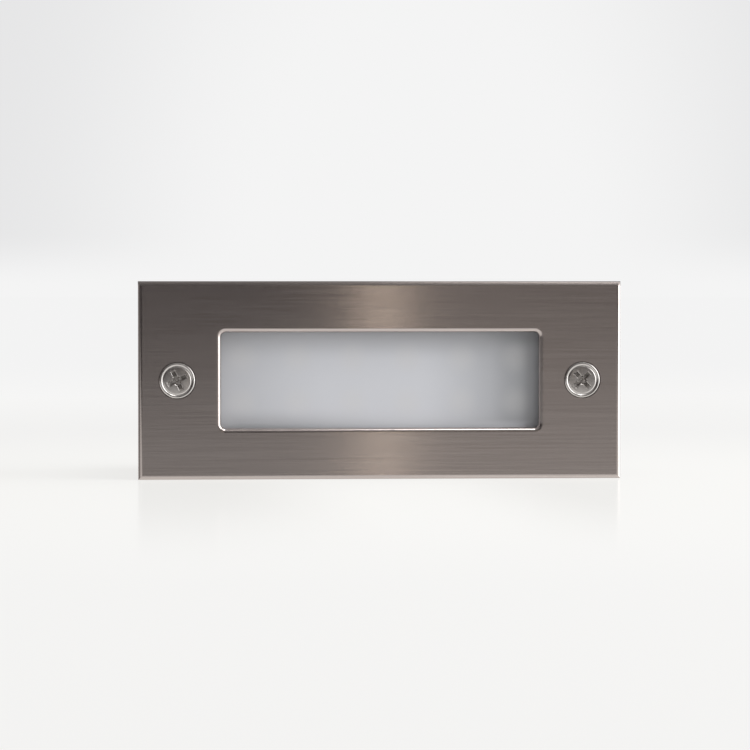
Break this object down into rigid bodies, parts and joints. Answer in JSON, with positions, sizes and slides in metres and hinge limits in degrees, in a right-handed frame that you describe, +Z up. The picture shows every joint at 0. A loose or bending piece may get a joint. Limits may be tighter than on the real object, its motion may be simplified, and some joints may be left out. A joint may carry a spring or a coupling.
{
  "type": "step light",
  "caption": "Recessed step light with a brushed rectangular faceplate, a frosted window, captive face screws, a sealed lamp tray and a wall box.",
  "frame": {"origin": "centre of the faceplate on the wall's surface, where the wall box is let in", "axes": "+X to the right seen from the front, +Y into the wall, +Z up; the light faces -Y"},
  "size_m": [0.11, 0.0557, 0.045],
  "materials": {
    "brushed_stainless": "satin, brushed along its length",
    "screw_steel": "bright",
    "plated_steel": "zinc plated",
    "box_plastic": "fine moulded texture",
    "brass": "turned",
    "black_rubber": "matt",
    "grey_foam": "closed-cell foam",
    "clear_silicone": "translucent",
    "frosted_acrylic": "frosted sheet, satin face",
    "cast_aluminium": "as cast",
    "white_plastic": "matt white moulding",
    "white_board": "white solder mask",
    "green_board": "green solder mask",
    "led_body": "moulded",
    "phosphor": "yellow silicone fill",
    "chip_black": "moulded",
    "thermal_sheet": "soft sheet",
    "red_insulation": "smooth",
    "black_insulation": "smooth",
    "solder": "bright",
    "ferrite": "matt",
    "capacitor_sleeve": "shrunk sleeve",
    "terminal_plastic": "moulded",
    "nylon_black": "moulded",
    "nylon_natural": "moulded"
  },
  "bodies": {
    "recess_box": {"recess_box": "box_plastic", "threaded_inserts": "brass", "entry_grommet": "black_rubber", "blank_plug": "black_rubber"},
    "light_unit": {"faceplate": "brushed_stainless", "wall_gasket": "grey_foam", "weld_studs": "plated_steel", "stud_washers": "plated_steel", "stud_nuts": "plated_steel", "lens_front_gasket": "clear_silicone", "diffuser_lens": "frosted_acrylic", "lens_rear_gasket": "clear_silicone", "lamp_tray": "cast_aluminium", "reflector": "white_plastic", "led_board": "white_board", "led_packages": "led_body", "led_phosphors": "phosphor", "led_resistors": "chip_black", "led_board_screws": "plated_steel", "thermal_pad": "thermal_sheet", "positive_wire": "red_insulation", "negative_wire": "black_insulation", "solder_joints": "solder", "driver_board": "green_board", "driver_choke": "ferrite", "driver_capacitors": "capacitor_sleeve", "driver_chips": "chip_black", "terminal_block": "terminal_plastic", "terminal_screws": "plated_steel", "driver_screws": "plated_steel", "rear_cover_seal": "black_rubber", "rear_cover": "cast_aluminium", "rear_cover_screws": "plated_steel", "gland_washer": "black_rubber", "gland_body": "nylon_black", "gland_locknut": "nylon_black", "gland_seal": "black_rubber", "gland_cap": "nylon_black"},
    "left_screw_carrier": {"left_retaining_ring": "nylon_natural"},
    "left_screw": {"left_screw": "screw_steel"},
    "right_screw_carrier": {"right_retaining_ring": "nylon_natural"},
    "right_screw": {"right_screw": "screw_steel"}
  },
  "joints": [
    {"name": "unit_withdraw", "type": "slide", "parent": "recess_box", "child": "light_unit", "axis": [0, -1, 0], "range_m": [0, 0.055]},
    {"name": "left_screw_travel", "type": "slide", "parent": "light_unit", "child": "left_screw_carrier", "axis": [0, -1, 0], "range_m": [0, 0.0077]},
    {"name": "left_screw_turn", "type": "hinge", "parent": "left_screw_carrier", "child": "left_screw", "pos_m": [-0.04615, 0, 0], "axis": [0, -1, 0], "range_deg": [0, 3960]},
    {"name": "right_screw_travel", "type": "slide", "parent": "light_unit", "child": "right_screw_carrier", "axis": [0, -1, 0], "range_m": [0, 0.0077]},
    {"name": "right_screw_turn", "type": "hinge", "parent": "right_screw_carrier", "child": "right_screw", "pos_m": [0.04615, 0, 0], "axis": [0, -1, 0], "range_deg": [0, 3960]}
  ],
  "couplings": [
    {"joint": "left_screw_turn", "follows": "left_screw_travel", "rad_per_m": 8976},
    {"joint": "right_screw_turn", "follows": "right_screw_travel", "rad_per_m": 8976}
  ]
}
